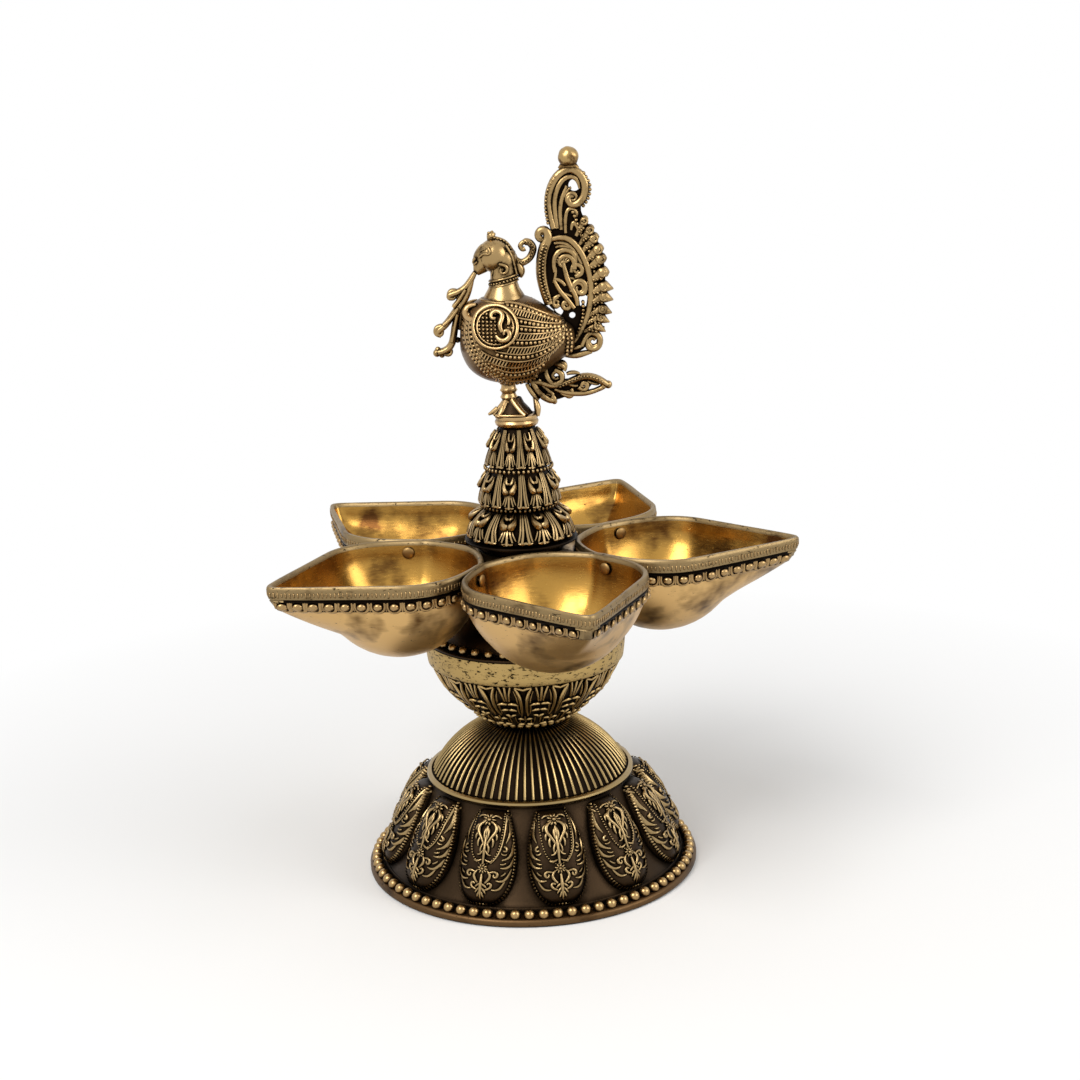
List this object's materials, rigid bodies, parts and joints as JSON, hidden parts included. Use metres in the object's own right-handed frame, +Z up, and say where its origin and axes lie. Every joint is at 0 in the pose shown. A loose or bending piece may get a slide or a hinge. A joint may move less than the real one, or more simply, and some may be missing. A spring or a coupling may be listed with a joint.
{
  "type": "aarti lamp",
  "caption": "Brass aarti lamp: flared panelled foot, ribbed dome, lotus bowl, spouted oil cups round a leaf column, and a screw-on peacock finial with an openwork tail.",
  "frame": {"origin": "on the lamp's axis, in the plane of the surface it stands on", "axes": "+Z up along the axis; the pictured front faces -Y; the bird looks towards -X"},
  "size_m": [0.1533, 0.1559, 0.216],
  "materials": {
    "foot_brass": "antique cast brass, dark patina in the recesses and rubbed bright on the high points",
    "dome_brass": "antique cast brass, dark patina in the recesses and rubbed bright on the high points",
    "bowl_brass": "antique cast brass, dark patina in the recesses and rubbed bright on the high points",
    "cover_brass": "antique cast brass, dark patina in the recesses and rubbed bright on the high points",
    "cup_brass": "cast brass, turned and hand-polished inside, satin outside, brown in the hollows",
    "hub_brass": "plain cast brass, dark with age",
    "rivet_brass": "antique cast brass, dark patina in the recesses and rubbed bright on the high points",
    "column_brass": "antique cast brass, dark patina in the recesses and rubbed bright on the high points",
    "rod_brass": "plain turned brass, dull",
    "perch_brass": "antique cast brass, dark patina in the recesses and rubbed bright on the high points",
    "bird_brass": "antique cast brass, dark patina in the recesses and rubbed bright on the high points",
    "wing_brass": "antique cast brass, dark patina in the recesses and rubbed bright on the high points",
    "tail_brass": "antique cast brass, dark patina in the recesses and rubbed bright on the high points"
  },
  "bodies": {
    "lamp": {"foot_skirt": "foot_brass", "ribbed_dome": "dome_brass", "lotus_bowl": "bowl_brass", "bowl_cover": "cover_brass", "cup_hub": "hub_brass", "cup_rivets": "rivet_brass", "leaf_column": "column_brass", "tie_rod": "rod_brass", "tie_washer": "rod_brass", "tie_nut": "rod_brass", "oil_cup_1": "cup_brass", "oil_cup_2": "cup_brass", "oil_cup_3": "cup_brass", "oil_cup_4": "cup_brass", "oil_cup_5": "cup_brass"},
    "stud": {"bird_stud": "rod_brass"},
    "bird": {"perch_collar": "perch_brass", "bird_body": "bird_brass", "bird_leg": "bird_brass", "bird_head": "bird_brass", "crest_plume": "bird_brass", "beak_creeper": "bird_brass", "wing_near": "wing_brass", "wing_far": "wing_brass", "tail_fan": "tail_brass", "tail_finial": "tail_brass", "under_tail_scroll": "tail_brass"}
  },
  "joints": [
    {"name": "bird_lift", "type": "slide", "parent": "lamp", "child": "stud", "axis": [0, 0, 1], "range_m": [0, 0.0045]},
    {"name": "bird_turn", "type": "hinge", "parent": "stud", "child": "bird", "pos_m": [0, 0, 0.1363], "axis": [0, 0, 1], "range_deg": [0, 1620]}
  ],
  "couplings": [
    {"joint": "bird_turn", "follows": "bird_lift", "rad_per_m": 6283.2}
  ]
}
